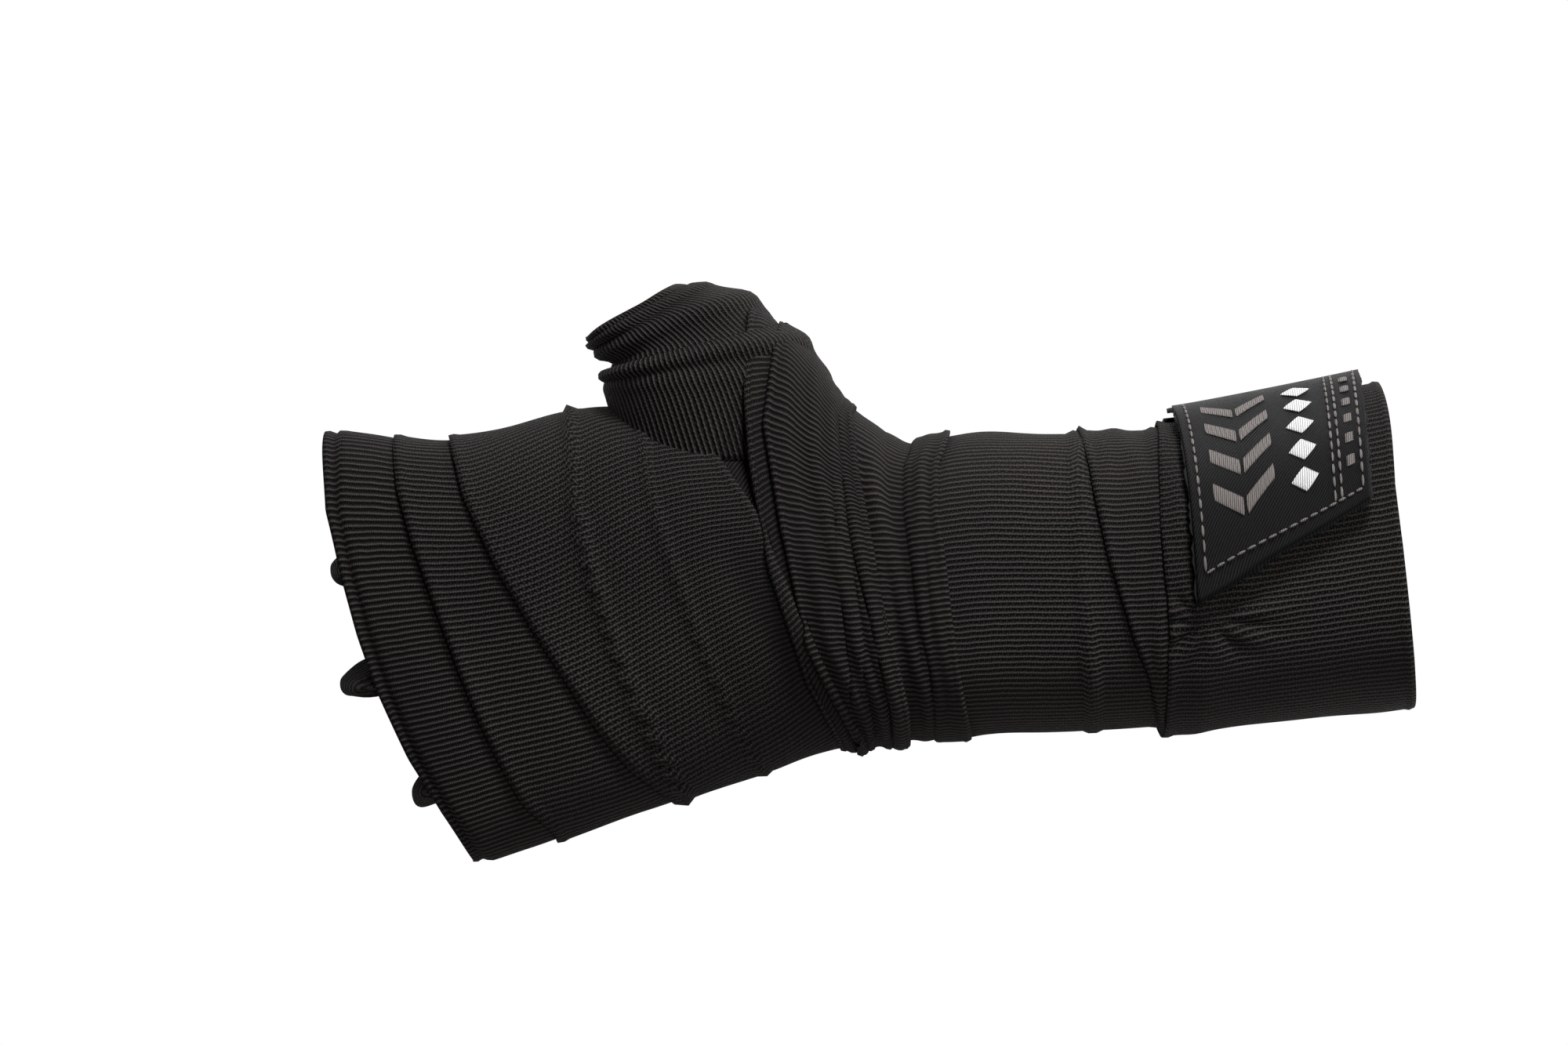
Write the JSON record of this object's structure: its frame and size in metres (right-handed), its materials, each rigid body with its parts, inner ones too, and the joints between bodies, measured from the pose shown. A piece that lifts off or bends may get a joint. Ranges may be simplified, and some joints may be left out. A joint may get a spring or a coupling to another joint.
{
  "type": "hand wrap",
  "caption": "Semi-elastic hand wrap in its worn shape: bands round the hand, thumb, wrist and forearm, closed by a hook-and-loop tab.",
  "frame": {"origin": "centre of the bounding box in plan, at its lowest level", "axes": "+X from the fingers to the forearm, +Y to the thumb side, +Z out of the back of the hand"},
  "size_m": [0.226, 0.1202, 0.0609],
  "materials": {
    "elastic_cloth": "ribbed black elastic weave",
    "woven_tape": "flat black woven tape",
    "loop_pile": "black loop pile",
    "hook_tape": "black hook tape",
    "label_weave": null,
    "stitch_thread": "grey-brown thread"
  },
  "bodies": {
    "wrap": {"knuckle_turn_inner": "elastic_cloth", "knuckle_turn_outer": "elastic_cloth", "knuckle_turn_overlap": "elastic_cloth", "palm_turn_inner": "elastic_cloth", "palm_turn_outer": "elastic_cloth", "cross_pass_under": "elastic_cloth", "back_pass_diagonal": "elastic_cloth", "thumb_loop": "elastic_cloth", "thumb_turn_upper": "elastic_cloth", "thumb_turn_lower": "elastic_cloth", "thumb_cross_turn_inner": "elastic_cloth", "thumb_cross_turn_outer": "elastic_cloth", "wrist_turn_first": "elastic_cloth", "wrist_turn_second": "elastic_cloth", "wrist_turn_gathered": "elastic_cloth", "forearm_turn_first": "elastic_cloth", "forearm_turn_second": "elastic_cloth", "forearm_turn_wide": "elastic_cloth", "forearm_turn_third": "elastic_cloth", "forearm_turn_narrow": "elastic_cloth", "closing_turn": "elastic_cloth", "web_strap_index_middle": "elastic_cloth", "web_strap_middle_ring": "elastic_cloth", "web_strap_ring_little": "elastic_cloth", "tab_root": "woven_tape", "loop_panel": "loop_pile"},
    "tab": {"closure_tab": "woven_tape", "hook_panel": "hook_tape", "label_patch": "label_weave", "label_stitching": "stitch_thread"}
  },
  "joints": [
    {"name": "tab_peel", "type": "hinge", "parent": "wrap", "child": "tab", "pos_m": [0.0832, 0.0401, 0.0288], "axis": [-0.9792, -0.1871, -0.0783], "range_deg": [0, 100]}
  ]
}
